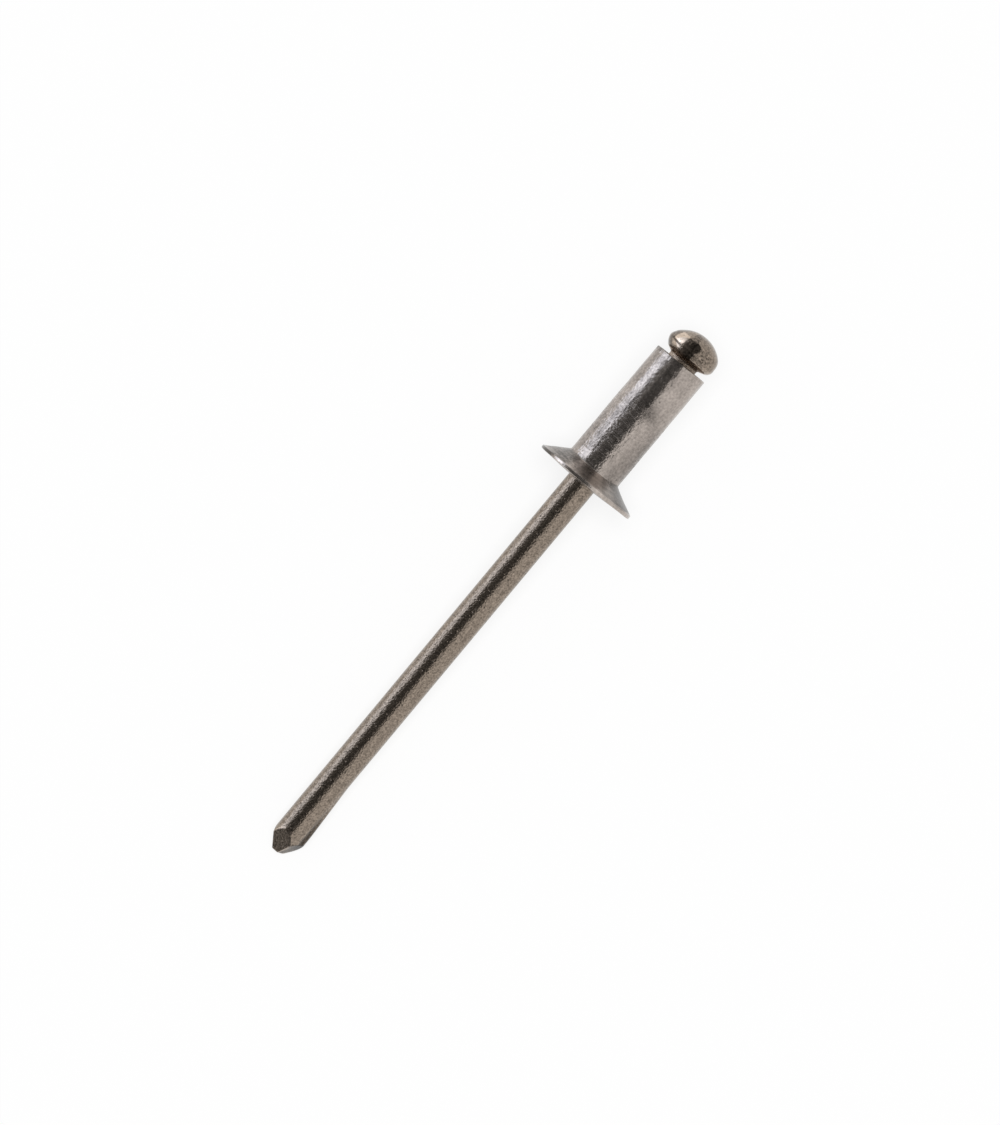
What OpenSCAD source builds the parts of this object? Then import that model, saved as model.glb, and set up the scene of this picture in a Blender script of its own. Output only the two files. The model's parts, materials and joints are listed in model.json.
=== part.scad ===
// Open-end blind rivet with a countersunk flange, as supplied: a hollow sleeve
// set on its mandrel, lying on a level surface.
//
// Each piece is drawn on the rivet's own axis, which is Z there: zero is the
// flange's flat face, the mandrel's head is up and its point is down. lie_down()
// then lays the whole rivet along +X, at rest on its flange's rim and its shank.

/* [Sleeve] */
// Outside diameter of the sleeve
sleeve_d = 4; // [3.2:0.1:5]
// Length of the sleeve, from the flange's face to its open end
sleeve_len = 10.2; // [8:0.1:20]
// Radius of the rounded edge at the sleeve's open end
sleeve_end_round = 0.1; // [0.02:0.01:0.3]

/* [Flange] */
// Diameter of the countersunk flange
flange_d = 7.5; // [6:0.1:10]
// Thickness of the flange's upright rim
flange_edge = 0.25; // [0.2:0.01:0.6]
// Included angle of the countersunk cone
flange_angle = 120; // [90:5:130]
// Radius of the rim's edge at the flat face
rim_round = 0.1; // [0.02:0.01:0.18]
// Radius of the fillet where the cone meets the sleeve
flange_fillet = 0.12; // [0.02:0.01:0.4]
// Chamfer at the mouth of the bore, in the flat face
bore_chamfer = 0.08; // [0.02:0.01:0.25]

/* [Mandrel shank] */
// Diameter of the drawn shank
shank_d = 2.12; // [1.7:0.02:2.5]
// Length of shank that stands out from the flange's face
shank_out = 32.2; // [24:0.1:50]
// Angle between each of the point's four flats and the axis
point_angle = 29; // [20:1:45]
// Width of the small square that the point ends in
point_flat = 0.54; // [0.2:0.02:1]
// Turn of the mandrel about its axis, from where one flat of its point faces up
mandrel_turn = -12; // [-45:1:45]

/* [Mandrel collar and break notch] */
// How far the collar under the head stands proud of the shank
collar_rise = 0.04; // [0.02:0.01:0.1]
// Length of collar that sits inside the sleeve's open end
collar_grip = 0.8; // [0.4:0.1:2]
// Gap between the collar and the wall of the bore
collar_clearance = 0.02; // [0.01:0.01:0.05]
// Depth of the break notch, which is pinched in from two sides
notch_depth = 0.36; // [0.2:0.02:0.6]
// Included angle of the break notch
notch_angle = 70; // [50:5:100]
// Distance from the end of the collar to the middle of the break notch
notch_offset = 0.7; // [0.6:0.1:2]

/* [Mandrel head] */
// Diameter of the head at its widest
head_d = 3.78; // [3.4:0.02:4.4]
// Length of collar that shows between the sleeve and the head
head_gap = 0.26; // [0.15:0.01:0.6]
// Height of the head from its foot to its widest plane
head_lower = 0.79; // [0.6:0.01:0.85]
// Height of the dome above the head's widest plane
head_crown = 1.31; // [1.2:0.01:1.6]
// Radius of the head's rounded side
head_side_r = 0.86; // [0.8:0.02:1.1]
// Slope of the head's underside, away from square to the axis
head_under_angle = 19; // [5:1:30]
// Radius of the fillet where the collar meets the head
neck_fillet = 0.1; // [0.02:0.01:0.15]

/* [Hidden] */
$fn = 96;

sleeve_r = sleeve_d / 2;
flange_r = flange_d / 2;
flange_slope = 90 - flange_angle / 2;
flange_h = flange_edge + (flange_r - sleeve_r) * tan(flange_slope);

shank_r = shank_d / 2;
collar_r = shank_r + collar_rise;
bore_r = collar_r + collar_clearance;
collar_start = sleeve_len - collar_grip;
notch_z = collar_start - notch_offset;
// Length of the point along the shank's underside
point_len = (shank_r * cos(mandrel_turn) - point_flat / 2) / tan(point_angle);

head_r = head_d / 2;
head_foot = sleeve_len + head_gap;
head_mid = head_foot + head_lower;
head_top = head_mid + head_crown;
// The rounded side's centre lies this far from the axis
side_offset = head_r - head_side_r;
// Radius of the dome that meets the rounded side without a corner
dome_r = (pow(side_offset, 2) + pow(head_crown, 2) - pow(head_side_r, 2))
    / (2 * (head_crown - head_side_r));
dome_angle = asin(side_offset / (dome_r - head_side_r));

// Size of the blocks that cut the point, which reach past the whole shank
cutter_size = 4 * shank_d;

// The rivet touches the surface at the rim's rounded edge and at the shank,
// where the point begins. These are that triangle's two sides.
rest_run = shank_out - point_len + rim_round;
rest_rise = flange_r - rim_round - shank_r;
rest_tilt = atan(rest_rise / rest_run)
    + asin(rim_round / norm([rest_run, rest_rise]));
// Height of the axis at the flange's face
rest_height = (flange_r - rim_round) * cos(rest_tilt)
    + rim_round * (1 - sin(rest_tilt));
// Reach of the lying rivet along X on each side of the flange's face
rest_front = (head_top - dome_r) * cos(rest_tilt) + dome_r;
rest_back = shank_out * cos(rest_tilt) + point_flat / 2 * sin(rest_tilt);

// Fills the corner between the -Y axis and a line that climbs at slope to +X
module corner_fillet(radius, slope) {
    drop = radius / cos(slope) - radius * tan(slope);
    top = radius * cos(slope) - drop;
    difference() {
        polygon([
            [-radius, -drop],
            [radius, -drop],
            [radius * (1 - sin(slope)), top],
            [-radius, top]
        ]);
        translate([radius, -drop])
            circle(r = radius);
    }
}

module sleeve_outline() {
    polygon([
        [0, 0],
        [flange_r - rim_round, 0],
        [flange_r, rim_round],
        [flange_r, flange_edge],
        [sleeve_r, flange_h],
        [sleeve_r, sleeve_len - sleeve_end_round],
        [sleeve_r - sleeve_end_round, sleeve_len],
        [0, sleeve_len]
    ]);
    translate([flange_r - rim_round, rim_round])
        circle(r = rim_round);
    translate([sleeve_r - sleeve_end_round, sleeve_len - sleeve_end_round])
        circle(r = sleeve_end_round);
    translate([sleeve_r, flange_h])
        mirror([0, 1])
            corner_fillet(flange_fillet, flange_slope);
}

module bore_outline() {
    polygon([
        [-bore_r, -bore_chamfer],
        [bore_r + 2 * bore_chamfer, -bore_chamfer],
        [bore_r, bore_chamfer],
        [bore_r, sleeve_len + bore_chamfer],
        [-bore_r, sleeve_len + bore_chamfer]
    ]);
}

// The head's half section: a dome over a rounded side, cut off below by the
// sloping underside
module head_outline() {
    difference() {
        union() {
            translate([0, head_foot])
                square([side_offset, head_lower]);
            translate([side_offset, head_mid])
                circle(r = head_side_r);
            intersection() {
                translate([0, head_top - dome_r])
                    circle(r = dome_r);
                translate([0, head_top - dome_r])
                    polygon([
                        [0, 0],
                        [2 * dome_r * sin(dome_angle), 2 * dome_r * cos(dome_angle)],
                        [0, 2 * dome_r]
                    ]);
            }
        }
        polygon([
            [-head_r, head_foot - head_r],
            [2 * head_r, head_foot - head_r],
            [2 * head_r, head_foot + (2 * head_r - collar_r) * tan(head_under_angle)],
            [collar_r, head_foot],
            [-head_r, head_foot]
        ]);
    }
    translate([collar_r, head_foot])
        corner_fillet(neck_fillet, head_under_angle);
}

module mandrel_outline() {
    translate([0, -shank_out])
        square([shank_r, shank_out + collar_start]);
    translate([0, collar_start])
        square([collar_r, head_mid - collar_start]);
    head_outline();
}

// Takes away everything outside one of the four flats that form the point
module point_cutter() {
    translate([point_flat / 2, 0, -shank_out])
        rotate([0, point_angle, 0])
            translate([0, -cutter_size / 2, -cutter_size / 2])
                cube(cutter_size);
}

// A wedge whose edge lies across the shank at the bottom of the notch
module notch_cutter() {
    half_width = shank_d * tan(notch_angle / 2);
    translate([shank_r - notch_depth, 0, notch_z])
        rotate([90, 0, 0])
            linear_extrude(height = 2 * shank_d, center = true)
                polygon([[0, 0], [shank_d, half_width], [shank_d, -half_width]]);
}

// From the rivet's own axis to its place on the surface, centred over the origin
module lie_down() {
    translate([(rest_back - rest_front) / 2, 0, rest_height])
        rotate([0, 90 - rest_tilt, 0])
            children();
}

module rivet_body() {
    color([0.76, 0.77, 0.78])
        lie_down()
            rotate_extrude()
                difference() {
                    sleeve_outline();
                    bore_outline();
                }
}

module mandrel() {
    color([0.6, 0.58, 0.55])
        lie_down()
            rotate([0, 0, mandrel_turn])
                difference() {
                    rotate_extrude()
                        mandrel_outline();
                    for (flat = [0:3])
                        rotate([0, 0, 90 * flat])
                            point_cutter();
                    for (side = [0:1])
                        rotate([0, 0, 180 * side])
                            notch_cutter();
                }
}

rivet_body();
mandrel();
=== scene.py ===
"""Countersunk blind rivet: the detailed pieces, the metals and the studio."""

import json
import math

import bpy
import numpy as np
from mathutils import Matrix, Vector, noise


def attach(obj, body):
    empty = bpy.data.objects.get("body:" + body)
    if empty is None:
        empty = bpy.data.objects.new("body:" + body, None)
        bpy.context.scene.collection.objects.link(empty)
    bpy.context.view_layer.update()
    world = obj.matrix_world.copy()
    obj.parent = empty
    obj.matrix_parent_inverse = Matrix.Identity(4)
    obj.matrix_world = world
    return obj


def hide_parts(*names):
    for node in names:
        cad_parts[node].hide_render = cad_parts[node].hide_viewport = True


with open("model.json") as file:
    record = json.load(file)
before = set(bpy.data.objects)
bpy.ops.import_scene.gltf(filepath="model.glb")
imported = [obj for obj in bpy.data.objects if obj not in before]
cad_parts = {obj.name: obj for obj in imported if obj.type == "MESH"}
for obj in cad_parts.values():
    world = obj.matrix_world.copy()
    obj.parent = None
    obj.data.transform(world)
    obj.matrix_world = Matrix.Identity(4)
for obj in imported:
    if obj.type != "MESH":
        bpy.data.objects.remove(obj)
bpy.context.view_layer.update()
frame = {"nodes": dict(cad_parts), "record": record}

MM = 0.001
SEGMENTS = 288

# Rounds and small features, in mm, which the mesh can't be measured for
RIM_ROUND = 0.08
RIM_CORNER_ROUND = 0.08
CONE_SLOPE = math.radians(30)
CONE_FILLET = 0.16
SLEEVE_END_ROUND = 0.09
BORE_CHAMFER = 0.08
BORE_ROUND = 0.02
NOTCH_TURN = math.radians(-12)
POINT_ROUND = 0.1
COLLAR_RISE = 0.04
COLLAR_STEP = 0.04
COLLAR_GRIP = 0.8
NOTCH_OFFSET = 0.7
NOTCH_DEPTH = 0.36
NOTCH_SLOPE = math.radians(35)
HEAD_GAP = 0.26
HEAD_SIDE_ROUND = 0.86
HEAD_UNDER_SLOPE = math.radians(19)
NECK_FILLET = 0.13

# The point's flats as (angle from the top towards -Y, slope to the axis, reach at the end in mm).
# The third faces the table.
POINT_FLATS = [(-15, 25.8, 0.237), (66, 32.3, 0.25), (166, 16.9, 0.64), (-105, 28.6, 0.25)]
FACET, STRIP = POINT_FLATS[0], POINT_FLATS[1]
FLAT_SHARPNESS = 60
POINT_SHARPNESS = 110

# The ridge beside the point as (angle from the top towards -Y, half its width, height and length in mm),
# and how far from the shank's end it starts to thin
POINT_BURR = (98, 30, 0.2, 4.2)
BURR_START = 2.1

# How far the made thing strays from the drawing, in mm
FLANGE_SHIFT = 0.16
FLANGE_CROWN = 0.027
FLANGE_LEAN = 0.15
FLANGE_LEAN_TURN = 0.12
FLANGE_WAVE = 0.03
RIM_WAVE = 0.012
CONE_HOLLOW = 0.035
EDGE_THINNER = 0.05
SLEEVE_SHIFT = 0.015
SLEEVE_TAPER = 0.06
SLEEVE_DENTS = 0.008
SLEEVE_END_WAVE = 0.03
BORE_FLARE = 0.05
NECK_SHIFT = 0.06
HEAD_SHIFT = 0.11
HEAD_FULLER = 0.065
HEAD_ROUNDER = 0.03
HEAD_WAVE = 0.015
DOME_SHIFT = 0.06
DOME_FLATTER = 0.03

# The metals' linear colours, and the least and most that their tones may be
SLEEVE_COLOUR = (0.351, 0.309, 0.279)
SLEEVE_TONES = (0.3, 2.8)
MANDREL_COLOUR = (0.252, 0.206, 0.166)
MANDREL_TONES = (0.35, 3.9)

# The stage. Sizes are in metres, apart from the camera's, which are in mm.
FLOOR_SIZE = 6
FLOOR_WHITE = 0.97
FLOOR_GLOW = 0.8
FILL = 0.35
LAMP_ANGLE = math.radians(35)
TENT_RADIUS = 0.8
TENT_STRENGTH = 2.22
WINDOW_COLOUR = (0.82, 0.886, 1.006)
CAMERA_PLACE = (2.188, 0.782, 240)
CAMERA_TURN = math.radians(-50.25)
CAMERA_LENS = 113.95
CAMERA_SENSOR = 36

# What the metal sees of the tent, by the angle round the rivet from straight up, positive towards -Y.
# The floor hides what is more than 90 degrees away.
ROOM = [
    (-125, 0.14),
    (-60, 0.15),
    (-48, 0.1),
    (-38, 0.08),
    (-26, 0.062),
    (-10, 0.048),
    (10, 0.048),
    (18, 0.44),
    (30, 0.46),
    (60, 0.45),
    (75, 0.43),
    (90, 0.36),
]
FAR_DARKEST = 0.05
FAR_LIGHTEST = 0.4


# ---------------------------------------------------------------- the frame


def mount(name):
    """The record's mount of that name."""
    found = [m for m in frame["record"]["mounts"] if m["name"] == name]
    return found[0]


def own_axis_matrix():
    """From the rivet's own frame, with its axis as Z and zero at the flange's face, to the row frame."""
    axis = Vector(mount("sleeve")["axis"]).normalized()
    on_axis = Vector(mount("sleeve")["pos_m"])
    face = Vector(mount("flange_face")["pos_m"])
    centre = on_axis + axis * (face - on_axis).dot(axis)
    side = Vector((0, 1, 0))
    down = side.cross(axis)
    turn = Matrix((down, side, axis)).transposed()
    return Matrix.Translation(centre) @ turn.to_4x4()


LIE_DOWN = own_axis_matrix()


def along_and_out(node):
    """Each vertex of a CAD node as its place along the axis and its distance from it, in mm."""
    mesh = frame["nodes"][node].data
    points = np.array([LIE_DOWN.inverted() @ v.co for v in mesh.vertices]) / MM
    return points[:, 2], np.hypot(points[:, 0], points[:, 1])


def measure():
    """The main sizes, in mm, from the CAD nodes and the record."""
    along, out = along_and_out("rivet_body")
    size = {"sleeve_r": mount("sleeve")["dims"]["r_mm"]}
    size["flange_r"] = out.max()
    size["sleeve_len"] = along.max()
    size["bore_r"] = out.min()
    size["flange_edge"] = along[out > out.max() - 0.001].max()
    along, out = along_and_out("mandrel")
    size["shank_r"] = mount("mandrel_shank")["dims"]["r_mm"]
    size["shank_out"] = -along.min()
    size["head_r"] = out.max()
    size["head_mid"] = along[out.argmax()]
    size["head_top"] = along.max()
    return size


SIZE = measure()
CONE_END = SIZE["flange_edge"] + (SIZE["flange_r"] - SIZE["sleeve_r"]) * math.tan(CONE_SLOPE)
SLEEVE_END = SIZE["sleeve_len"]
SHANK_END = -SIZE["shank_out"]
COLLAR_R = SIZE["shank_r"] + COLLAR_RISE
HEAD_FOOT = SLEEVE_END + HEAD_GAP
HEAD_MID = SIZE["head_mid"]
HEAD_TOP = SIZE["head_top"]
NOTCH_MID = SLEEVE_END - COLLAR_GRIP - NOTCH_OFFSET
NECK_START = SLEEVE_END - 0.1


# ---------------------------------------------------------------- outlines


def line(start, end, count):
    """Points from start up to but not including end."""
    steps = np.arange(count)[:, None] / count
    return np.array(start) + steps * (np.array(end) - np.array(start))


def arc(centre, radius, start, end, count):
    """Points on an arc from one angle up to but not including the other."""
    angles = start + np.arange(count) / count * (end - start)
    ring = np.stack([np.cos(angles), np.sin(angles)], 1)
    return np.array(centre) + radius * ring


def rounded(points, radii, counts):
    """The line through points with its inner corners rounded. Counts are the rows on each stretch."""
    made = []
    last = np.array(points[0], float)
    steps = np.arange(8)[:, None] / 8
    for i in range(1, len(points) - 1):
        before, corner, after = (np.array(p, float) for p in points[i - 1 : i + 2])
        into = (corner - before) / np.linalg.norm(corner - before)
        away = (after - corner) / np.linalg.norm(after - corner)
        turn = math.acos(float(np.clip(into @ away, -1, 1)))
        back = radii[i - 1] * math.tan(turn / 2)
        begin, finish = corner - into * back, corner + away * back
        made.append(line(last, begin, counts[i - 1]))
        bend = begin * (1 - steps) ** 2 + 2 * corner * steps * (1 - steps) + finish * steps**2
        made.append(bend)
        last = finish
    made.append(line(last, points[-1], counts[-1]))
    made.append(np.array([points[-1]], float))
    return np.concatenate(made)


def body_outline():
    """The rivet body's closed outline as (along, out) points, from the bore's mouth round to it again."""
    s = SIZE
    corners = [
        (0, s["bore_r"] + BORE_CHAMFER),
        (0, s["flange_r"]),
        (s["flange_edge"], s["flange_r"]),
        (CONE_END, s["sleeve_r"]),
        (SLEEVE_END, s["sleeve_r"]),
        (SLEEVE_END, s["bore_r"]),
        (BORE_CHAMFER, s["bore_r"]),
        (0, s["bore_r"] + BORE_CHAMFER),
    ]
    rounds = [RIM_ROUND, RIM_CORNER_ROUND, CONE_FILLET, SLEEVE_END_ROUND, BORE_ROUND, BORE_ROUND]
    rows = [14, 5, 50, 170, 8, 20, 2]
    return rounded(corners, rounds, rows)[:-1]


def mandrel_outline():
    """The mandrel's outline from its point to the top of its head, as (along, out, share of the section)."""
    tip = rounded([(SHANK_END, 0), (SHANK_END, 1), (SHANK_END + POINT_ROUND, 1)], [POINT_ROUND], [6, 1])
    tip = tip[:-1]
    first_rows = tip * (1, 0) + (0, SIZE["shank_r"])
    outline = np.concatenate([first_rows, shank_outline(), neck_outline(), head_outline()])
    shares = np.concatenate([tip[:, 1], np.ones(len(outline) - len(tip))])
    return np.column_stack([outline, shares])


def shank_outline():
    """The shank from its point to its collar, with more rows at the point and at the notch."""
    collar = SLEEVE_END - COLLAR_GRIP
    point_rows, notch_rows = 1.8, 0.6
    places = [
        SHANK_END + POINT_ROUND,
        SHANK_END + POINT_ROUND + point_rows,
        0,
        NOTCH_MID - notch_rows,
        NOTCH_MID + notch_rows,
        collar,
    ]
    counts = [88, 60, 6, 24, 2]
    shank_r = SIZE["shank_r"]
    made = []
    for start, end, rows in zip(places, places[1:], counts):
        made.append(line((start, shank_r), (end, shank_r), rows))
    made.append(line((collar, shank_r), (collar + COLLAR_STEP, COLLAR_R), 2))
    made.append(line((collar + COLLAR_STEP, COLLAR_R), (NECK_START, COLLAR_R), 2))
    return np.concatenate(made)


def neck_outline():
    """The collar that shows, with the fillet under the head."""
    drop = NECK_FILLET * (1 / math.cos(HEAD_UNDER_SLOPE) - math.tan(HEAD_UNDER_SLOPE))
    centre = (HEAD_FOOT - drop, COLLAR_R + NECK_FILLET)
    straight = line((NECK_START, COLLAR_R), (HEAD_FOOT - drop, COLLAR_R), 12)
    fillet = arc(centre, NECK_FILLET, -math.pi / 2, -HEAD_UNDER_SLOPE, 8)
    return np.concatenate([straight, fillet])


def head_outline():
    """The head's underside, rounded side and dome."""
    rise = HEAD_TOP - HEAD_MID
    side_centre = SIZE["head_r"] - HEAD_SIDE_ROUND
    dome_r = (side_centre**2 + rise**2 - HEAD_SIDE_ROUND**2) / (2 * (rise - HEAD_SIDE_ROUND))
    dome_angle = math.asin(side_centre / (dome_r - HEAD_SIDE_ROUND))
    low = under_side_angle(side_centre)
    slope = math.tan(HEAD_UNDER_SLOPE)
    drop = NECK_FILLET * (1 / math.cos(HEAD_UNDER_SLOPE) - slope)
    first = (
        HEAD_FOOT - drop + NECK_FILLET * math.cos(HEAD_UNDER_SLOPE),
        COLLAR_R + NECK_FILLET - NECK_FILLET * math.sin(HEAD_UNDER_SLOPE),
    )
    corner = (
        HEAD_MID - HEAD_SIDE_ROUND * math.sin(low),
        side_centre + HEAD_SIDE_ROUND * math.cos(low),
    )
    under = line(first, corner, 8)
    angles = np.linspace(-low, math.pi / 2 - dome_angle, 60)
    side_along = HEAD_MID + HEAD_SIDE_ROUND * np.sin(angles)
    side_out = side_centre + HEAD_SIDE_ROUND * np.cos(angles)
    angles = np.linspace(dome_angle, 0, 42)[1:]
    dome_along = HEAD_TOP - dome_r + dome_r * np.cos(angles)
    dome_out = dome_r * np.sin(angles)
    return np.concatenate([under, np.stack([side_along, side_out], 1), np.stack([dome_along, dome_out], 1)])


def under_side_angle(side_centre):
    """The angle below the head's widest plane at which its underside meets the arc of its side."""
    slope = math.tan(HEAD_UNDER_SLOPE)
    low = math.radians(70)
    for _ in range(30):
        out = side_centre + HEAD_SIDE_ROUND * math.cos(low)
        along = HEAD_FOOT + (out - COLLAR_R) * slope
        low = math.asin(min(1, (HEAD_MID - along) / HEAD_SIDE_ROUND))
    return low


# ---------------------------------------------------------------- shaping


def ramp(value, start, end):
    """Climbs smoothly from 0 at start to 1 at end."""
    t = np.clip((value - start) / (end - start), 0, 1)
    return t * t * (3 - 2 * t)


def soft_least(a, b, sharpness):
    """The smaller of a and b, with the edge between them slightly rounded."""
    least = np.minimum(a, b)
    ratio = least / np.maximum(np.maximum(a, b), 1e-9)
    return least * (1 + ratio**sharpness) ** (-1 / sharpness)


def waves(around, along, seed, turns, stretch):
    """Smooth random values in about -1..1 on a cylinder's surface."""
    made = np.zeros(around.shape)
    for index in np.ndindex(around.shape):
        a = around[index]
        place = (turns * math.cos(a), turns * math.sin(a), stretch * along[index] + seed)
        made[index] = noise.noise(place)
    return made * 1.6


def grid_of(outline):
    """The outline turned round the axis: angle, along and out for each vertex."""
    angles = np.arange(SEGMENTS) / SEGMENTS * 2 * math.pi
    around = np.broadcast_to(angles, (len(outline), SEGMENTS)).copy()
    along = np.repeat(outline[:, :1], SEGMENTS, 1)
    out = np.repeat(outline[:, 1:2], SEGMENTS, 1)
    return around, along, out


def to_points(around, along, out, shift):
    """Cylinder places to points in metres. Shift moves them towards -Y, in mm."""
    x = out * np.cos(around)
    y = out * np.sin(around) - shift
    return np.stack([x, y, along], 2) * MM


def facing(around, degrees):
    """The cosine of the angle to a direction given in degrees from the top, positive towards -Y."""
    return np.cos(around - math.pi - math.radians(degrees))


def bent_flange(around, along, out, on_flange):
    """The flange's crown, lean, hollow cone and thinner +Y edge, as a move along the axis."""
    s = SIZE
    up_cone = np.clip((out - s["sleeve_r"]) / (s["flange_r"] - s["sleeve_r"]), 0, 1)
    thinner = EDGE_THINNER * (0.4 + 0.6 * np.sin(around)) * ramp(up_cone, 0.5, 0.85)
    hollow = (CONE_HOLLOW * 4 * up_cone * (1 - up_cone) + thinner) * ramp(along, 0.02, 0.22)
    lean = FLANGE_LEAN * np.cos(around + FLANGE_LEAN_TURN)
    return (FLANGE_CROWN - lean) * on_flange - hollow


def body_points():
    """The rivet body's rings, with the flange slightly off centre and every edge slightly uneven."""
    s = SIZE
    around, along, out = grid_of(body_outline())
    on_flange = ramp(out, s["sleeve_r"], s["flange_r"]) * (along < 2)
    outside = out > s["bore_r"] + 0.3
    rim_wave = waves(around, along * 0, 3.1, 1.6, 1)
    end_wave = waves(around, along * 0, 8.4, 2.5, 1)
    dents = waves(around, along, 5.2, 1.4, 0.6)
    at_end = ramp(along, SLEEVE_END - 1.2, SLEEVE_END) * outside
    along = along + bent_flange(around, along, out, on_flange)
    along = along + FLANGE_WAVE * rim_wave * on_flange + SLEEVE_END_WAVE * end_wave * at_end
    out = out + RIM_WAVE * rim_wave * on_flange
    on_sleeve = outside & (along > s["flange_edge"])
    taper = SLEEVE_TAPER * ramp(along, 1.0, SLEEVE_END + 3) * (1 + np.sin(around)) / 2
    out = out + (SLEEVE_DENTS * dents - taper) * on_sleeve
    out = out + BORE_FLARE * ~outside * ramp(along, SLEEVE_END - 1, SLEEVE_END - 0.2)
    shift = SLEEVE_SHIFT + (FLANGE_SHIFT - SLEEVE_SHIFT) * on_flange
    return to_points(around, along, out, shift)


def flats(around, along, share):
    """Distance to the point's four flats, whose own edges are slightly rounded."""
    total = np.zeros(around.shape)
    for turn, slope, reach in POINT_FLATS:
        reach = share * (reach + (along - SHANK_END) * math.tan(math.radians(slope)))
        towards = np.maximum(facing(around, turn), 1e-3)
        total += (towards / np.maximum(reach, 1e-4)) ** FLAT_SHARPNESS
    return total ** (-1 / FLAT_SHARPNESS)


def burr(around, along):
    """The ridge of metal that cutting the point has squeezed out towards -Y."""
    turn, reach, height, length = POINT_BURR
    start = SHANK_END + BURR_START
    across = ramp(facing(around, turn), math.cos(math.radians(reach)), 1)
    return height * across * np.clip((start + length - along) / length, 0, 1)


def notched(around, along, out):
    """The break notch, pinched in from two sides."""
    reach = SIZE["shank_r"] - NOTCH_DEPTH + np.abs(along - NOTCH_MID) / math.tan(NOTCH_SLOPE)
    towards = np.abs(np.cos(around - NOTCH_TURN))
    return np.minimum(out, reach / np.maximum(towards, 1e-3))


def uneven_head(around, along, out):
    """The head fuller at its foot towards -Y, and its corner and its dome rounder towards +Y."""
    on_head = ramp(along, HEAD_FOOT - 0.1, HEAD_FOOT + 0.5)
    on_side = (along > HEAD_FOOT) & (along < HEAD_MID) & (out > SIZE["shank_r"] + 0.2)
    foot_line = HEAD_FOOT + (out - SIZE["shank_r"] - COLLAR_RISE) * math.tan(HEAD_UNDER_SLOPE)
    along = np.where(on_side, np.maximum(along, foot_line), along)
    fuller = ramp(-np.sin(around), 0, 1) * ramp(along, HEAD_FOOT + 0.02, HEAD_FOOT + 0.14)
    out = out + HEAD_FULLER * fuller * ramp(HEAD_MID - along, 0, 0.45)
    rounder = ramp(np.sin(around), -0.2, 1) * ramp(along, HEAD_FOOT, HEAD_FOOT + 0.25)
    out = out - HEAD_ROUNDER * rounder * ramp(HEAD_MID - along, 0, 0.6)
    dome = ramp(along, HEAD_MID, HEAD_MID + 0.4) * ramp(HEAD_TOP - along, 0, 0.5)
    out = out - DOME_FLATTER * (1 + np.sin(around)) * dome
    wave = waves(around, along, 2.2, 1.2, 0.6)
    return along, out + HEAD_WAVE * wave * on_head * ramp(out, 0, 1)


def mandrel_points():
    """The mandrel's rings, with the point's flats, the notch and a slightly uneven head."""
    outline = mandrel_outline()
    around, along, out = grid_of(outline[:, :2])
    share = np.repeat(outline[:, 2:], SEGMENTS, 1)
    out = out + burr(around, along)
    out = soft_least(out, flats(around, along, share), POINT_SHARPNESS)
    out = notched(around, along, out)
    along, out = uneven_head(around, along, out)
    shift = NECK_SHIFT * ramp(along, SLEEVE_END - 0.6, SLEEVE_END)
    shift = shift + (HEAD_SHIFT - NECK_SHIFT) * ramp(along, HEAD_FOOT - 0.1, HEAD_FOOT + 0.35)
    shift = shift + DOME_SHIFT * ramp(along, HEAD_MID, HEAD_TOP)
    return to_points(around, along, out, shift)


# ---------------------------------------------------------------- meshes


def ring_faces(rings, closed):
    """Quads between each ring and the next, and from the last to the first if the outline is closed."""
    faces = []
    for i in range(rings if closed else rings - 1):
        here = i * SEGMENTS
        there = (i + 1) % rings * SEGMENTS
        for j in range(SEGMENTS):
            k = (j + 1) % SEGMENTS
            faces.append((here + k, here + j, there + j, there + k))
    return faces


def capped(points, faces):
    """Closes both ends, whose rings have shrunk to a point on the axis."""
    first = points[0].mean(0)
    last = points[-1].mean(0)
    inner = points[1:-1].reshape(-1, 3)
    count = len(inner)
    low, high = count, count + 1
    top = count - SEGMENTS
    for j in range(SEGMENTS):
        k = (j + 1) % SEGMENTS
        faces.append((k, low, j))
        faces.append((top + j, high, top + k))
    return np.concatenate([inner, [first, last]]), faces


def piece(name, points, faces, material, node):
    """A piece that stands for a CAD node."""
    mesh = bpy.data.meshes.new(name)
    mesh.from_pydata(points.reshape(-1, 3).tolist(), [], faces)
    mesh.transform(LIE_DOWN)
    mesh.shade_smooth()
    mesh.set_sharp_from_angle(angle=math.radians(40))
    mesh.materials.append(material)
    obj = bpy.data.objects.new(name, mesh)
    bpy.context.scene.collection.objects.link(obj)
    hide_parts(node)
    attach(obj, "root")
    return obj


# ---------------------------------------------------------------- materials


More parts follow.
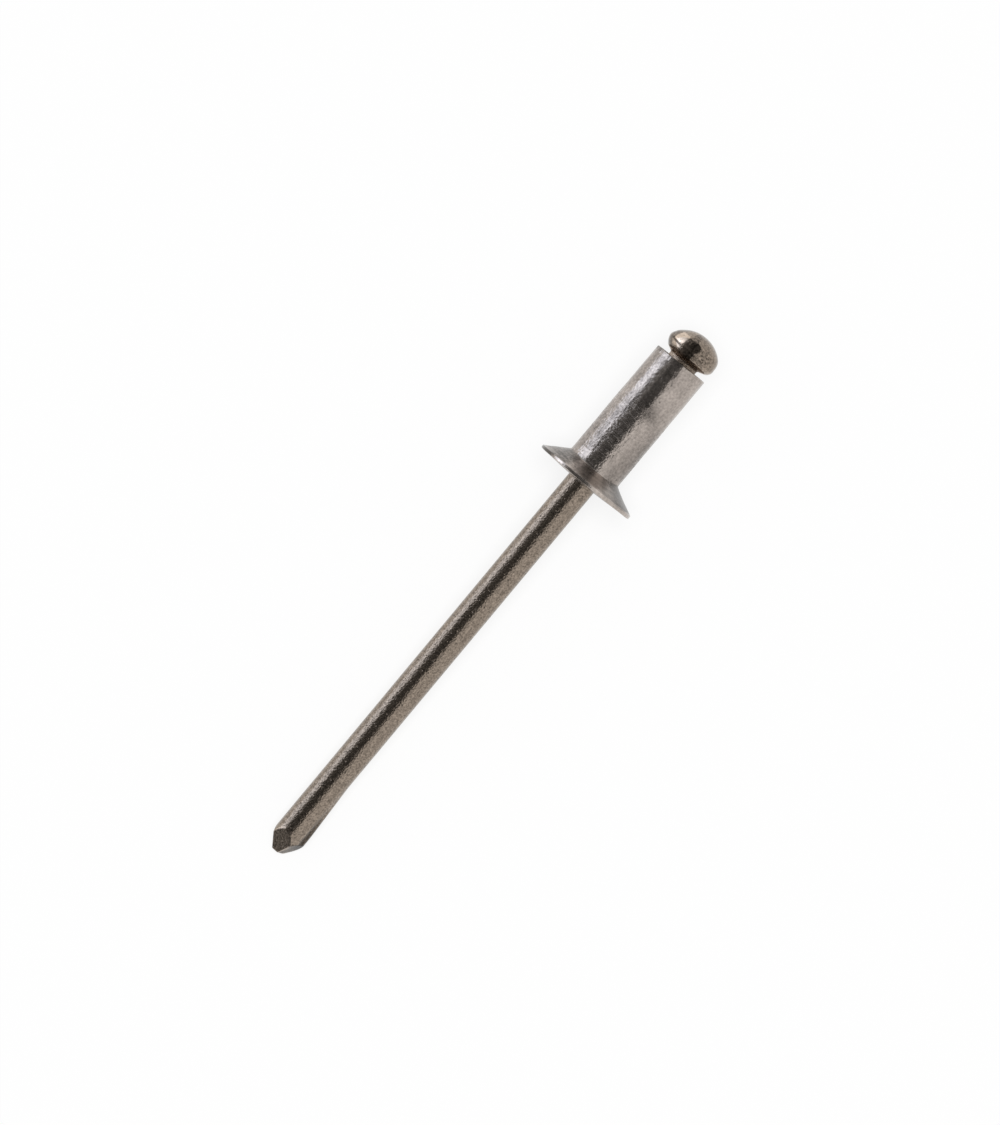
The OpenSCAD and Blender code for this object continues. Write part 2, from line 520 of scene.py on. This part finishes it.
class Nodes:
    """Adds nodes to a material or world and joins them."""

    def __init__(self, owner):
        owner.use_nodes = True
        self.tree = owner.node_tree
        self.tree.nodes.clear()

    def add(self, kind, inputs=None, **settings):
        node = self.tree.nodes.new(kind)
        for name, value in settings.items():
            setattr(node, name, value)
        for name, value in (inputs or {}).items():
            if isinstance(value, bpy.types.NodeSocket):
                self.tree.links.new(value, node.inputs[name])
            else:
                node.inputs[name].default_value = value
        return node

    def math(self, operation, first, second=0.0, clamp=False):
        node = self.add("ShaderNodeMath", {0: first, 1: second}, operation=operation)
        node.use_clamp = clamp
        return node.outputs[0]

    def plus(self, value, factor, more):
        """value * factor + more."""
        node = self.add("ShaderNodeMath", {0: value, 1: factor, 2: more}, operation="MULTIPLY_ADD")
        return node.outputs[0]

    def layered(self, value, layers):
        """The value with area * amount added for each layer."""
        for area, amount in layers:
            value = self.plus(area, amount, value)
        return value

    def both(self, first, second):
        return self.math("MULTIPLY", first, second)

    def either(self, first, second):
        return self.math("MAXIMUM", first, second)

    def within(self, value, limits):
        """The value kept between two limits."""
        least, most = limits
        return self.math("MAXIMUM", self.math("MINIMUM", value, most), least)

    def fade(self, value, start, end):
        """Climbs smoothly from 0 to 1 as value goes from start to end."""
        inputs = {"Value": value, "From Min": start, "From Max": end}
        node = self.add("ShaderNodeMapRange", inputs, interpolation_type="SMOOTHSTEP")
        return node.outputs["Result"]

    def patch(self, value, middle, reach):
        """1 within about reach of the middle and 0 beyond it."""
        away = self.math("ABSOLUTE", self.math("SUBTRACT", value, middle))
        return self.fade(away, reach, reach * 0.75)

    def noise(self, place, size, detail=2.0):
        """Random values whose features are about size mm across."""
        inputs = {"Vector": place, "Scale": 1 / size, "Detail": detail}
        return self.add("ShaderNodeTexNoise", inputs).outputs["Fac"]

    def stretched(self, place, x, y, z):
        inputs = {"Vector": place, "Scale": (x, y, z)}
        return self.add("ShaderNodeMapping", inputs, vector_type="POINT").outputs["Vector"]

    def spots(self, place, spacing, size):
        """1 in scattered round spots and 0 between them. Size is a share of the spacing in mm."""
        cell = self.add("ShaderNodeTexVoronoi", {"Vector": place, "Scale": 1 / spacing})
        return self.fade(cell.outputs["Distance"], size, size * 0.4)

    def seen_rays(self):
        """1 for the rays that show a background: the camera's, and those of reflection and transmission."""
        rays = self.add("ShaderNodeLightPath").outputs
        seen = self.math("ADD", rays["Is Camera Ray"], rays["Is Glossy Ray"])
        return self.math("ADD", seen, rays["Is Transmission Ray"], clamp=True)

    def shaded(self, colour, factor):
        """The colour times a number that varies over the surface."""
        node = self.add("ShaderNodeVectorMath", {0: colour}, operation="SCALE")
        self.tree.links.new(factor, node.inputs["Scale"])
        return node.outputs["Vector"]

    def metal(self, colour, roughness, height):
        """Height is the bump's, in mm."""
        bump = self.add("ShaderNodeBump", {"Height": height, "Strength": 1.0, "Distance": MM})
        inputs = {
            "Base Color": colour,
            "Metallic": 1.0,
            "Roughness": roughness,
            "Normal": bump.outputs["Normal"],
        }
        shader = self.add("ShaderNodeBsdfPrincipled", inputs)
        self.add("ShaderNodeOutputMaterial", {"Surface": shader.outputs[0]})


class Spot:
    """Where a point of the surface lies in the rivet's own frame: place in mm, along, turn and radius."""

    def __init__(self, n):
        self.n = n
        place = n.add("ShaderNodeTexCoord").outputs["Object"]
        inverse = LIE_DOWN.inverted()
        inputs = {
            "Vector": place,
            "Location": inverse.to_translation() / MM,
            "Rotation": inverse.to_euler(),
            "Scale": (1 / MM, 1 / MM, 1 / MM),
        }
        self.place = n.add("ShaderNodeMapping", inputs, vector_type="POINT").outputs["Vector"]
        self.parts = n.add("ShaderNodeSeparateXYZ", {0: self.place}).outputs
        self.along = self.parts["Z"]
        self.turn = self.turn_from_top()

    def turn_from_top(self):
        """Degrees round the rivet from its top, positive towards -Y."""
        side = self.n.math("MULTIPLY", self.parts["Y"], -1.0)
        top = self.n.math("MULTIPLY", self.parts["X"], -1.0)
        return self.n.math("DEGREES", self.n.math("ARCTAN2", side, top))

    def radius(self, shift=0.0):
        """Distance in mm from the axis, or from a line that much nearer to -Y."""
        n = self.n
        y = n.math("ADD", self.parts["Y"], shift)
        return n.math("SQRT", n.plus(self.parts["X"], self.parts["X"], n.both(y, y)))

    def on_flat(self, flat, reach_past=0.0):
        """1 on that flat of the mandrel's point and 0 elsewhere, from that far in mm outside it."""
        n = self.n
        turn, slope, reach = flat
        rise = math.tan(math.radians(slope))
        top = n.math("MULTIPLY", self.parts["X"], -math.cos(math.radians(turn)))
        out = n.plus(self.parts["Y"], -math.sin(math.radians(turn)), top)
        plane = n.plus(self.parts["Z"], rise, reach - SHANK_END * rise)
        near = n.fade(n.math("SUBTRACT", out, plane), -0.04 - reach_past, -0.02 - reach_past)
        return n.both(near, n.fade(self.along, SHANK_END + 3.2, SHANK_END + 2.7))


def sleeve_areas(n, spot):
    """The parts of the rivet body that look different, each 1 there and 0 elsewhere."""
    edge, sleeve_r, flange_r = SIZE["flange_edge"], SIZE["sleeve_r"], SIZE["flange_r"]
    along = spot.along
    radius = spot.radius()
    flange_radius = spot.radius(FLANGE_SHIFT)
    cone = n.both(n.fade(along, CONE_END + 0.14, CONE_END - 0.06), n.fade(along, edge + 0.05, edge + 0.17))
    at_end = n.fade(along, SLEEVE_END - 0.3, SLEEVE_END - 0.2)
    end = n.both(at_end, n.fade(radius, sleeve_r - 0.03, sleeve_r - 0.07))
    at_face = n.fade(along, edge + 0.05, edge - 0.05)
    face = n.both(n.fade(flange_radius, flange_r - 0.05, flange_r - 0.13), at_face)
    rim = n.fade(flange_radius, flange_r - 0.13, flange_r - 0.07)
    return {
        "cone": cone,
        "end": end,
        "face": face,
        "rim": rim,
        "rim_edge": n.both(rim, n.fade(along, edge + 0.2, edge + 0.05)),
        "near_rim": n.fade(flange_radius, flange_r - 0.25, flange_r - 0.1),
        "polish": polished(n, spot),
    }


def polished(n, spot):
    """The two polished places of the sleeve, next to the cone and at its end, which the tone also lightens
    as a painted highlight.
    """
    near_cone = n.both(n.patch(spot.along, 1.75, 0.3), n.patch(spot.turn, -38, 13))
    at_end = n.both(n.patch(spot.along, SLEEVE_END - 0.1, 0.3), n.patch(spot.turn, -38, 16))
    return n.either(near_cone, at_end)


def sleeve_marks(n, spot):
    """The sleeve's random marks."""
    place = spot.place
    return {
        "blotch": n.noise(place, 1.3, 3),
        "dapple": n.noise(place, 0.5, 2),
        "grain": n.noise(place, 0.17, 2),
        "lines": n.noise(n.stretched(place, 0.3, 0.3, 9), 1, 2),
        "scratches": n.noise(n.stretched(place, 0.8, 0.8, 14), 1, 2),
        "pits": n.spots(place, 0.6, 0.14),
    }


def sleeve_height(n, spot, area, mark):
    """Fine grain that is calmer on the cone, at the rim and where polished, turning lines and pits."""
    grain_height = n.plus(n.fade(spot.along, 5.8, 7.2), -0.018, 0.034)
    height = n.plus(mark["dapple"], 0.034, 0)
    height = n.plus(n.both(mark["grain"], grain_height), 1, height)
    height = n.both(height, n.plus(n.either(area["polish"], area["cone"]), -0.7, 1))
    height = n.both(height, n.plus(area["near_rim"], -0.7, 1))
    return n.layered(height, [(n.both(mark["lines"], area["cone"]), 0.02), (mark["pits"], -0.01)])


def sleeve_roughness(n, spot, area, mark):
    """Rougher where rubbed, on the cone and on the flat faces, and smoother on the rim's +Y side."""
    rubbed = n.both(n.patch(spot.along, 4.4, 2.6), n.fade(mark["scratches"], 0.48, 0.62))
    smooth_rim = n.both(area["rim_edge"], n.fade(spot.turn, 0, -15))
    flat_faces = n.either(area["face"], area["end"])
    layers = [(rubbed, 0.2), (area["cone"], 0.1), (flat_faces, 0.17), (smooth_rim, -0.12)]
    return n.layered(0.19, layers)


def sleeve_tone(n, spot, area, mark):
    """How light the rivet body is, as a factor of its colour, with painted highlights and painted shade in
    bands, on the cone and on the rim.
    """
    grain_tone = n.plus(n.fade(spot.turn, 0, 12), -0.5, 1.5)
    layers = [
        (n.both(n.plus(mark["grain"], 1, -0.5), grain_tone), 1),
        (mark["pits"], -0.35),
        # painted highlight: the polished places are lighter
        (area["polish"], 0.2),
        (stain(n, spot, mark["blotch"]), -0.4),
        # painted shade near the flange and painted light near the open end, on the -Y side
        (lower_side_painted_light_and_shade(n, spot), 0.2),
        # painted light at the cone's top and painted shade at its sides, with its turning lines
        (n.both(area["cone"], cone_painted_light_shade_and_lines(n, spot, mark["lines"])), 1),
        # painted highlight and painted shade on the rim
        (area["rim"], rim_painted_highlight_and_shade(n, spot)),
        (area["end"], -0.3),
        # painted light and shade in bands along both halves of the sleeve
        (near_half_painted_bands(n, spot), 1),
        (far_half_painted_bands(n, spot), 1),
    ]
    tone = n.layered(n.plus(mark["blotch"], 0.8, 0.6), layers)
    return n.within(tone, SLEEVE_TONES)


def stain(n, spot, ragged):
    """A dull ragged smudge on the sleeve."""
    middle_along, middle_turn, half_width = 6.4, 15.0, 20.0
    away = n.math("SUBTRACT", spot.along, middle_along)
    aside = n.math("DIVIDE", n.math("SUBTRACT", spot.turn, middle_turn), half_width)
    far = n.math("SQRT", n.plus(away, away, n.both(aside, aside)))
    return n.fade(n.plus(ragged, 1.2, far), 1.7, 0.7)


def lower_side_painted_light_and_shade(n, spot):
    """Painted shade and light on the sleeve's lower side on -Y: below 0, darker, near the flange, and above
    0, lighter, near the open end.
    """
    return n.both(n.fade(spot.turn, 16, 34), n.plus(n.fade(spot.along, 2.0, 8.5), 1.4, -0.8))


def cone_painted_light_shade_and_lines(n, spot, lines):
    """The cone, with painted light at its top, painted shade at both sides, and its turning lines."""
    turn = spot.turn
    light = n.plus(n.patch(turn, -2, 28), 0.4, -0.1)
    # painted shade on both sides of the cone
    far_side_painted_shade = n.fade(turn, -20, -38)
    near_side_painted_shade = n.both(n.fade(turn, 32, 50), n.fade(turn, 100, 70))
    return n.layered(light, [(far_side_painted_shade, -0.42), (near_side_painted_shade, -0.5), (n.plus(lines, 1, -0.5), 1.0)])


def rim_painted_highlight_and_shade(n, spot):
    """The rim's painted highlight, a light streak on +Y, between a painted dark end there and a -Y half
    painted paler.
    """
    turn = spot.turn
    half = n.plus(n.fade(turn, -2, 6), 0.2, 0.2)
    beyond_streak = n.fade(turn, -36, -40)
    # the streak is a painted highlight, the end beyond it painted shade
    streak = n.patch(turn, -28, 11)
    painted_dark_end = n.fade(turn, -42, -54)
    return n.layered(half, [(beyond_streak, -0.2), (streak, 0.2), (painted_dark_end, -0.9)])


def near_half_painted_bands(n, spot):
    """Painted light and shade: lighter and darker bands along the half of the sleeve that is next to the
    flange.
    """
    turn = spot.turn
    bands = [
        (n.fade(turn, -48, -56), -0.12),
        (n.patch(turn, -23, 9), 0.15),
        (n.patch(turn, -38, 5), -0.2),
        (n.patch(turn, -1, 4), -0.2),
        (n.patch(turn, 9, 6), 0.2),
    ]
    # painted bands of light and shade, darker towards -Y
    painted_bands_near = n.layered(n.plus(n.fade(turn, 45, 60), -0.15, 0), bands)
    half = n.both(n.fade(spot.along, CONE_END + 0.14, CONE_END + 0.74), n.fade(spot.along, 5.8, 4.8))
    return n.both(painted_bands_near, half)


def far_half_painted_bands(n, spot):
    """Painted light and shade: a darker and a lighter band along the half of the sleeve that is next to the
    head.
    """
    # painted shade and painted light in two bands on the +Y side
    painted_bands_far = n.plus(n.patch(spot.turn, -25, 5), -0.2, n.plus(n.patch(spot.turn, -19, 5), 0.3, 0))
    return n.both(painted_bands_far, n.fade(spot.along, 4.8, 5.8))


def sleeve_metal():
    """Tumbled aluminium, with fine marks round the sleeve and turning lines on the flange, and painted light
    and shade in its tone.
    """
    material = bpy.data.materials.new("sleeve_metal")
    n = Nodes(material)
    spot = Spot(n)
    area = sleeve_areas(n, spot)
    mark = sleeve_marks(n, spot)
    height = sleeve_height(n, spot, area, mark)
    roughness = sleeve_roughness(n, spot, area, mark)
    tone = sleeve_tone(n, spot, area, mark)
    n.metal(n.shaded(SLEEVE_COLOUR, tone), roughness, height)
    return material


def mandrel_areas(n, spot):
    """The parts of the mandrel that look different, each 1 there and 0 elsewhere."""
    along, turn = spot.along, spot.turn
    facet = spot.on_flat(FACET)
    beside_facet = n.math("SUBTRACT", spot.on_flat(FACET, 0.06), facet)
    at_collar = n.fade(along, SLEEVE_END - 0.1, SLEEVE_END)
    return {
        "facet": facet,
        # a band beside the facet that carries a painted highlight
        "facet_edge": n.both(beside_facet, n.patch(turn, -40, 25)),
        "strip": spot.on_flat(STRIP),
        "head": n.fade(along, HEAD_FOOT - 0.06, HEAD_FOOT + 0.34),
        "neck": n.both(at_collar, n.fade(along, HEAD_FOOT + 0.14, HEAD_FOOT - 0.01)),
        # painted shadow under the point on its -Y side
        "under_point": n.both(n.patch(turn, 92, 37), n.fade(along, SHANK_END + 5.2, SHANK_END + 2.0)),
    }


def mandrel_marks(n, spot):
    """The mandrel's random marks."""
    place = spot.place
    return {
        "grain": n.noise(place, 0.13, 2),
        "dapple": n.noise(place, 0.6, 2),
        "specks": n.noise(n.stretched(place, 1, 1, 1.6), 0.16, 1),
        "pits": n.spots(place, 0.35, 0.18),
    }


def mandrel_height(n, area, mark):
    """Fine grain that is calmer on the head, and pits."""
    height = n.both(n.plus(mark["grain"], 0.03, 0), n.plus(area["head"], -0.8, 1))
    return n.layered(height, [(mark["dapple"], 0.016), (mark["pits"], -0.022)])


def mandrel_roughness(n, area):
    """Smoother on the head, and rougher at the neck and where the point was cut."""
    cut = n.either(area["facet"], area["strip"])
    return n.layered(0.17, [(area["head"], -0.11), (area["neck"], 0.3), (cut, 0.2)])


def mandrel_tone(n, spot, area, mark):
    """How light the mandrel is, as a factor of its colour, with painted light and shade on the point, the
    neck and the head.
    """
    # painted shade on the point's -Y flat, darker away from its tip and slightly lighter at it
    strip_painted_light_and_shade = n.plus(n.fade(spot.along, SHANK_END + 0.6, SHANK_END + 1.1), -0.9, 0.2)
    # painted light in the neck, stronger on the +Y side
    neck_painted_light = n.plus(n.fade(spot.turn, -20, 20), -0.75, 0.8)
    layers = [
        (mark["pits"], -0.4),
        *head_tones(n, spot, area, mark),
        (area["strip"], strip_painted_light_and_shade),
        (area["facet"], -0.05),
        # painted highlight along the facet's edge
        (area["facet_edge"], 0.8),
        (area["neck"], neck_painted_light),
    ]
    tone = n.layered(n.plus(n.plus(mark["grain"], 1, -0.5), 2.2, 1), layers)
    least, most = MANDREL_TONES
    # painted shadow: darker under the point
    tone = n.both(n.math("MAXIMUM", tone, least), n.plus(area["under_point"], -0.65, 1))
    return n.math("MINIMUM", tone, most)


def head_tones(n, spot, area, mark):
    """The head's layers of tone, as (area, amount). Apart from the head's own lighter tone and its spots,
    they are painted light and shade: a darker -Y half, a darker far side, a dark crease line, a dark band, a
    lighter foot, a corner lighter on -Y and darker on +Y, and a highlight.
    """
    along, turn, head = spot.along, spot.turn, area["head"]
    # painted shade: the head's -Y half is darker, less so far round
    dull = n.both(n.both(head, n.fade(turn, -12, 12)), n.plus(n.fade(turn, 25, 50), -0.5, 1))
    spotted = n.both(n.patch(along, HEAD_MID - 0.1, 0.6), n.patch(turn, 26, 34))
    spotted = n.both(spotted, n.fade(mark["specks"], 0.52, 0.64))
    # painted shade: the head's far +Y side is darker
    far_side_painted_shade = n.both(head, n.fade(turn, -48, -62))
    # painted shade: a dark line along a crease on the head's +Y side
    painted_crease_shade = n.both(n.patch(n.plus(turn, 0.006, along), 10.94, 0.08), n.patch(turn, -42, 18))
    # painted light at the head's foot, and painted light and shade at its corner
    foot_painted_light = n.plus(n.fade(turn, -10, 15), -0.3, 1.5)
    corner_painted_light_and_shade = n.plus(n.fade(turn, -5, 25), 0.5, -0.25)
    return [
        (head, 0.2),
        (dull, -0.3),
        (spotted, -0.55),
        (far_side_painted_shade, -0.5),
        (painted_crease_shade, -0.9),
        # painted shade: a dark band over the head
        (painted_dark_band(n, spot), -0.55),
        (n.patch(along, HEAD_FOOT + 0.08, 0.11), foot_painted_light),
        (n.patch(along, HEAD_FOOT + 0.34, 0.18), corner_painted_light_and_shade),
        # painted highlight on the head's +Y side
        (head_painted_highlight(n, spot, head), 1),
    ]


def painted_dark_band(n, spot):
    """Painted shade: the darker band over the head's top, with a part beside it near the foot."""
    along, turn = spot.along, spot.turn
    past_middle = n.fade(along, HEAD_MID - 0.1, HEAD_MID + 0.2)
    on_dome = n.both(past_middle, n.fade(along, HEAD_TOP + 0.04, HEAD_TOP - 0.16))
    beside = n.both(n.patch(turn, 22, 14), n.patch(along, HEAD_MID - 0.3, 0.2))
    return n.plus(beside, 0.7, n.both(n.patch(turn, -10, 14), on_dome))


def head_painted_highlight(n, spot, head):
    """A painted highlight: the head's light place on +Y, with a fainter one nearer to its foot."""
    fainter = n.both(n.patch(spot.along, HEAD_MID - 0.3, 0.12), 0.5)
    glow = n.plus(n.patch(spot.along, HEAD_MID + 0.3, 0.4), 1.3, fainter)
    return n.both(n.both(head, glow), n.patch(spot.turn, -38, 16))


def mandrel_metal():
    """Drawn steel wire, fine grained and lightly pitted, with a polished and then spotted head, and painted
    light and shade on its point, neck and head.
    """
    material = bpy.data.materials.new("mandrel_metal")
    n = Nodes(material)
    spot = Spot(n)
    area = mandrel_areas(n, spot)
    mark = mandrel_marks(n, spot)
    height = mandrel_height(n, area, mark)
    roughness = mandrel_roughness(n, area)
    tone = mandrel_tone(n, spot, area, mark)
    n.metal(n.shaded(MANDREL_COLOUR, tone), roughness, height)
    return material


# ---------------------------------------------------------------- stage


def stage_mesh(name, make, material):
    """A stage object made by a primitive operator."""
    make()
    obj = bpy.context.object
    obj.name = name
    obj.data.materials.clear()
    obj.data.materials.append(material)
    return obj


def only_in_reflections(obj):
    """The camera and the diffuse light pass through this object."""
    obj.visible_camera = False
    obj.visible_diffuse = False
    obj.visible_transmission = False
    obj.visible_volume_scatter = False
    obj.visible_shadow = False


def floor_material():
    """White, with part of it a glow that the camera and the reflections see, so that its shadow is faint."""
    material = bpy.data.materials.new("pale_floor")
    n = Nodes(material)
    matte = n.add("ShaderNodeBsdfDiffuse", {"Color": (FLOOR_WHITE, FLOOR_WHITE, FLOOR_WHITE, 1)})
    glow = n.add("ShaderNodeEmission", {"Color": (1, 1, 1, 1), "Strength": 1.0})
    share = n.both(n.seen_rays(), FLOOR_GLOW)
    inputs = {0: share, 1: matte.outputs[0], 2: glow.outputs[0]}
    shader = n.add("ShaderNodeMixShader", inputs)
    n.add("ShaderNodeOutputMaterial", {"Surface": shader.outputs[0]})
    material.cycles.emission_sampling = "NONE"
    return material


def tent_material():
    """A neutral room with a dark ceiling, a white -Y side and one low soft window on the +Y side."""
    material = bpy.data.materials.new("tent_glow")
    n = Nodes(material)
    place = n.add("ShaderNodeTexCoord").outputs["Object"]
    direction = n.add("ShaderNodeVectorMath", {0: place}, operation="NORMALIZE").outputs["Vector"]
    parts = n.add("ShaderNodeSeparateXYZ", {0: direction}).outputs
    side = n.plus(parts["X"], 0.03, n.math("MULTIPLY", parts["Y"], -1.0))
    degrees = n.math("DEGREES", n.math("ARCTAN2", side, parts["Z"]))
    back = n.math("MAXIMUM", n.math("MULTIPLY", parts["X"], -1.0), 0.0)
    level = room_round(n, parts, degrees)
    level = room_ends(n, parts, side, back, level)
    window = n.fade(n.plus(back, 20.0, degrees), -46, -66)
    window = n.both(window, n.both(n.fade(parts["X"], 0.95, 0.3), n.fade(parts["X"], -0.76, -0.68)))
    mixed = n.add("ShaderNodeMix", {0: window, 6: level}, data_type="RGBA")
    mixed.inputs[7].default_value = (*WINDOW_COLOUR, 1)
    emission = n.add("ShaderNodeEmission", {"Color": mixed.outputs[2], "Strength": TENT_STRENGTH})
    n.add("ShaderNodeOutputMaterial", {"Surface": emission.outputs[0]})
    material.cycles.emission_sampling = "NONE"
    return material


def room_round(n, parts, degrees):
    """The room's level by the angle round the rivet. Towards the head's end its -Y side turns down."""
    forward = n.math("MAXIMUM", parts["X"], 0.0)
    bent = n.plus(n.both(forward, n.fade(degrees, 0, 10)), -20.0, degrees)
    ramp_node = n.add("ShaderNodeValToRGB", {"Fac": n.plus(bent, 1 / 360, 0.5)})
    elements = ramp_node.color_ramp.elements
    while len(elements) < len(ROOM):
        elements.new(0.5)
    for element, (degree, level) in zip(elements, ROOM):
        element.position = degree / 360 + 0.5
        element.color = (level, level, level, 1)
    return ramp_node.outputs["Color"]


def room_ends(n, parts, side, back, level):
    """The room's level with its two ends, which differ from its middle."""
    at_table = n.fade(parts["Z"], 0.06, -0.1)
    depth = n.plus(parts["Z"], -0.5, n.math("MULTIPLY", side, 1.5))
    far_level = n.plus(n.fade(depth, 0.12, 0.5), FAR_LIGHTEST - FAR_DARKEST, FAR_DARKEST)
    far = n.both(n.fade(parts["X"], 0.2, 0.5), at_table)
    level = n.add("ShaderNodeMix", {0: far, 2: level, 3: far_level}).outputs[0]
    beyond = n.both(n.fade(parts["X"], 0.5, 0.7), n.fade(side, -0.22, -0.4))
    level = n.math("MAXIMUM", level, n.both(beyond, 0.17))
    behind = n.both(n.fade(back, 0.15, 0.4), n.fade(side, 0.0, -0.2))
    level = n.both(level, n.plus(behind, -0.5, 1))
    low_behind = n.both(n.fade(parts["X"], -0.1, -0.3), n.fade(parts["Z"], 0.1, -0.1))
    low_behind = n.both(low_behind, n.fade(side, 0.0, -0.2))
    return n.both(level, n.plus(low_behind, -0.6, 1))


def build_world():
    """White to the camera and in reflections, and a soft fill for everything else."""
    world = bpy.data.worlds.new("studio")
    bpy.context.scene.world = world
    n = Nodes(world)
    strength = n.plus(n.seen_rays(), 1 - FILL, FILL)
    background = n.add("ShaderNodeBackground", {"Color": (1, 1, 1, 1), "Strength": strength})
    n.add("ShaderNodeOutputWorld", {"Surface": background.outputs[0]})
    world.cycles.sampling_method = "NONE"


def build_stage():
    """The white floor, the tent that only reflections show, the soft lamp overhead and the world."""
    stage_mesh("floor", lambda: bpy.ops.mesh.primitive_plane_add(size=FLOOR_SIZE), floor_material())
    tent = stage_mesh(
        "light_tent",
        lambda: bpy.ops.mesh.primitive_uv_sphere_add(radius=TENT_RADIUS, segments=64, ring_count=32),
        tent_material(),
    )
    only_in_reflections(tent)
    key = bpy.data.lights.new("overhead", "SUN")
    key.energy = math.pi * (1 - FILL)
    key.angle = LAMP_ANGLE
    lamp = bpy.data.objects.new("overhead", key)
    lamp.visible_glossy = False
    bpy.context.scene.collection.objects.link(lamp)
    build_world()


def build_camera():
    """Looks straight down, turned as the photo is."""
    data = bpy.data.cameras.new("camera")
    data.sensor_width = CAMERA_SENSOR
    data.lens = CAMERA_LENS
    camera = bpy.data.objects.new("camera", data)
    camera.location = [value * MM for value in CAMERA_PLACE]
    camera.rotation_euler = (0, 0, CAMERA_TURN)
    bpy.context.scene.collection.objects.link(camera)
    bpy.context.scene.camera = camera


# ---------------------------------------------------------------- build

bpy.context.scene.view_settings.view_transform = "Standard"
build_camera()
build_stage()

rings = body_points()
faces = ring_faces(len(rings), True)
piece("rivet_body_detail", rings, faces, sleeve_metal(), "rivet_body")
rings = mandrel_points()
points, faces = capped(rings, ring_faces(len(rings) - 2, False))
piece("mandrel_detail", points, faces, mandrel_metal(), "mandrel")
